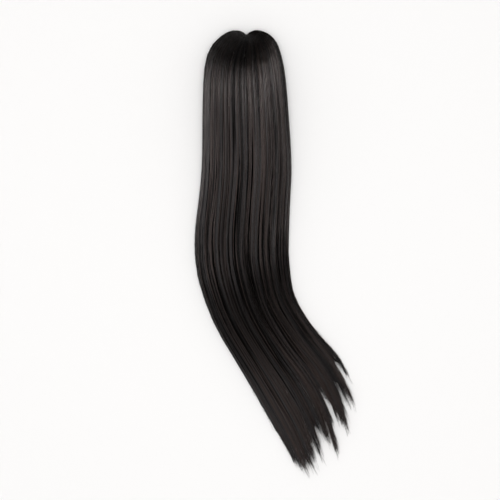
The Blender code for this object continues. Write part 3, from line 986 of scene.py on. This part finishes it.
def add_camera(height):
    """Look straight down on the table, with the photograph's frame at the table's level."""
    centre = PHOTO_PIXELS / 2
    x, y = photo_place(centre, centre)
    data = bpy.data.cameras.new("camera")
    data.sensor_width = SENSOR_WIDTH
    data.lens = data.sensor_width * height / (PHOTO_PIXELS * PIXEL_MM * MM)
    camera = add_object("camera", data)
    camera.location = (x, y, height)
    bpy.context.scene.camera = camera


def add_softbox(name, place, target, size, watts, colour=(1.0, 1.0, 1.0), reflects=True, fills=True):
    data = bpy.data.lights.new(name, "AREA")
    data.shape = "RECTANGLE"
    data.size, data.size_y = size
    data.energy = watts
    data.color = colour
    lamp = add_object(name, data)
    lamp.location = place
    aim = Vector(target) - Vector(place)
    lamp.rotation_euler = (math.atan2(aim.y, -aim.z), -math.atan2(aim.x, -aim.z), 0.0)
    lamp.visible_glossy, lamp.visible_diffuse = reflects, fills


def add_floor(colour):
    """Matt paper that glows a little far off, so that it fades into the pale surround."""
    mesh = bpy.data.meshes.new("floor")
    half = FLOOR_HALF_SIZE
    corners = [(-half, -half, 0.0), (half, -half, 0.0), (half, half, 0.0), (-half, half, 0.0)]
    mesh.from_pydata(corners, [], [(0, 1, 2, 3)])
    material, graph, shader = new_material("floor_paper")
    feed(shader.inputs["Base Color"], (*colour, 1.0))
    feed(shader.inputs["Roughness"], PAPER_ROUGHNESS)
    feed(shader.inputs["Specular IOR Level"], PAPER_SPECULAR)
    away = graph.vector("LENGTH", graph.node("ShaderNodeTexCoord", out="Object"), out="Value")
    glow = away.ramp(GLOW_STARTS, GLOW_FULL) * FLOOR_GLOW
    feed(shader.inputs["Emission Color"], graph.combine(glow, glow, glow))
    feed(shader.inputs["Emission Strength"], 1.0)
    mesh.materials.append(material)
    floor = add_object("floor", mesh)


def add_world(fill):
    """Pale where the camera sees it, even fill for matt surfaces, and dim in reflections but for a
    glow along the horizon."""
    world = bpy.data.worlds.new("studio")
    world.use_nodes = True
    bpy.context.scene.world = world
    graph = Graph(world.node_tree)
    ray = graph.add("ShaderNodeLightPath")
    camera, glossy = graph.out(ray, "Is Camera Ray"), graph.out(ray, "Is Glossy Ray")
    height = graph.split(graph.node("ShaderNodeTexCoord", out="Generated"))[2]
    shine = (1.0 - height.clamp()) ** 2.0 * WORLD_HORIZON + WORLD_GLOSS
    strength = camera * WORLD_SEEN + glossy * shine + (1.0 - camera) * (1.0 - glossy) * fill
    background = world.node_tree.nodes["Background"]
    feed(background.inputs["Color"], WORLD_COLOUR)
    feed(background.inputs["Strength"], strength)


# What a user can change

class HairSettings(bpy.types.PropertyGroup):
    dark: FloatVectorProperty(
        name="Dark", description="Darkest strands", subtype="COLOR", default=(0.002, 0.0017, 0.0016)
    )
    warm: FloatVectorProperty(
        name="Warm", description="Brownish strands", subtype="COLOR", default=(0.072, 0.052, 0.0465)
    )
    cool: FloatVectorProperty(
        name="Cool", description="Bluish strands", subtype="COLOR", default=(0.051, 0.0485, 0.05)
    )
    strands: IntProperty(
        name="Strands", description="Strands in each laid group", default=1250, min=10, max=1300
    )
    thickness: FloatProperty(
        name="Thickness", description="Width of a strand", subtype="DISTANCE", default=0.0005
    )
    wisp_height: FloatProperty(
        name="Wisp height", description="How high the wisps are piled", subtype="DISTANCE", default=0.002
    )
    seed: IntProperty(name="Seed", description="Changes every random choice", default=3)


class StudioSettings(bpy.types.PropertyGroup):
    camera_height: FloatProperty(
        name="Camera height", description="Camera above the table", subtype="DISTANCE", default=2.4
    )
    floor_colour: FloatVectorProperty(
        name="Floor", description="Colour of the paper", subtype="COLOR", default=(0.9, 0.895, 0.89)
    )
    overhead_power: FloatProperty(
        name="Overhead", description="Power of the large softbox above, in watts", default=50.0, min=0.0
    )
    sheen_power: FloatProperty(
        name="Sheen", description="Power of the softbox that draws the sheen, in watts", default=64.0, min=0.0
    )
    fill: FloatProperty(
        name="Fill", description="Strength of the even fill light", default=0.62, min=0.0
    )


# Operators

class HAIRPIECE_OT_locks(bpy.types.Operator):
    """Build the two hanks and the under layer as combed locks"""

    bl_idname = "hairpiece.locks"
    bl_label = "Locks"

    def execute(self, context):
        hair = context.scene.hairpiece_hair
        material = lock_material(hair.dark, hair.warm)
        reach = max(tuft.reach for tuft in TUFTS)
        for name, comb, start, node in (
            ("left_hank", Hank(-1), NOSE_START, "left_hair"),
            ("right_hank", Hank(1), NOSE_START, "right_hair"),
            ("under_layer", UnderLayer(hair.seed), UNDER_START, "under_hair"),
        ):
            piece = comb.build(name, ring_stations(start, reach), material)
            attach(piece, BODY)
            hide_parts(node)
        return {"FINISHED"}


# The laid groups of strands: the stretch of the section that each covers, a seed of its own, and
# what it changes in the strands' own values.
StrandGroup = namedtuple("StrandGroup", "name start end salt changes")
STRAY = {"Strands": 130, "Wander": 0.016, "Fray": 0.005, "Short": 0.1, "Thickness": 0.00036}
STRAND_GROUPS = [StrandGroup(*row) for row in (
    ("far_left_strands", 0.0, 0.25, 1, {}),
    ("left_strands", 0.25, 0.5, 2, {}),
    ("right_strands", 0.5, 0.75, 3, {}),
    ("far_right_strands", 0.75, 1.0, 4, {}),
    ("stray_strands", 0.0, 1.0, 5, STRAY),
)]


class HAIRPIECE_OT_strands(bpy.types.Operator):
    """Lay fine strands over the locks, group by group"""

    bl_idname = "hairpiece.strands"
    bl_label = "Strands"

    def execute(self, context):
        hair = context.scene.hairpiece_hair
        material = strand_material(hair.dark, hair.warm, hair.cool)
        tree = StrandGraph().build()
        guide = guide_surface(hair.seed)
        for group in STRAND_GROUPS:
            choices = {
                "Strands": hair.strands,
                "Seed": hair.seed + group.salt,
                "From": group.start,
                "To": group.end,
                "Thickness": hair.thickness,
                "Wisp height": hair.wisp_height,
                **group.changes,
            }
            piece = lay_strands(group.name, tree, guide, material, choices)
            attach(piece, BODY)
        bpy.data.objects.remove(guide, do_unlink=True)
        return {"FINISHED"}


class HAIRPIECE_OT_clip(bpy.types.Operator):
    """Give the claw clip its moulded plastic finish"""

    bl_idname = "hairpiece.clip"
    bl_label = "Clip finish"

    def execute(self, context):
        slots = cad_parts["claw_clip"].material_slots
        if not slots:
            raise RuntimeError("claw_clip has no material slot")
        material = clip_material()
        for slot in slots:
            slot.material = material
        return {"FINISHED"}


class HAIRPIECE_OT_studio(bpy.types.Operator):
    """Set up the paper floor, the lights and the camera"""

    bl_idname = "hairpiece.studio"
    bl_label = "Studio"

    def execute(self, context):
        studio = context.scene.hairpiece_studio
        context.scene.view_settings.view_transform = "Standard"
        add_camera(studio.camera_height)
        add_floor(studio.floor_colour)
        add_world(studio.fill)
        x, y = photo_place(PHOTO_PIXELS / 2, PHOTO_PIXELS / 2)
        place, aim = (x, y, OVERHEAD_HEIGHT), (x, y, 0.0)
        add_softbox("overhead", place, aim, OVERHEAD_SIZE, studio.overhead_power, reflects=False)
        add_softbox("sheen", SHEEN_PLACE, SHEEN_AIM, SHEEN_SIZE, studio.sheen_power,
                    colour=SHEEN_COLOUR, fills=False)
        return {"FINISHED"}


class HAIRPIECE_PT_panel(bpy.types.Panel):
    """Lists the settings and the steps of the hairpiece"""

    bl_idname = "HAIRPIECE_PT_panel"
    bl_label = "Hairpiece"
    bl_space_type = "VIEW_3D"
    bl_region_type = "UI"
    bl_category = "Hairpiece"

    def draw(self, context):
        for settings in (context.scene.hairpiece_hair, context.scene.hairpiece_studio):
            for name in settings.__annotations__:
                self.layout.prop(settings, name)
        for operator in OPERATORS:
            self.layout.operator(operator.bl_idname)


SETTINGS = (HairSettings, StudioSettings)
OPERATORS = (HAIRPIECE_OT_locks, HAIRPIECE_OT_strands, HAIRPIECE_OT_clip, HAIRPIECE_OT_studio)


def register():
    for item in (*SETTINGS, *OPERATORS, HAIRPIECE_PT_panel):
        bpy.utils.register_class(item)
    bpy.types.Scene.hairpiece_hair = PointerProperty(type=HairSettings)
    bpy.types.Scene.hairpiece_studio = PointerProperty(type=StudioSettings)


def unregister():
    del bpy.types.Scene.hairpiece_studio
    del bpy.types.Scene.hairpiece_hair
    for item in (HAIRPIECE_PT_panel, *reversed(OPERATORS), *reversed(SETTINGS)):
        bpy.utils.unregister_class(item)


def main():
    register()
    bpy.ops.hairpiece.locks()
    bpy.ops.hairpiece.strands()
    bpy.ops.hairpiece.clip()
    bpy.ops.hairpiece.studio()


if __name__ == "__main__":
    main()
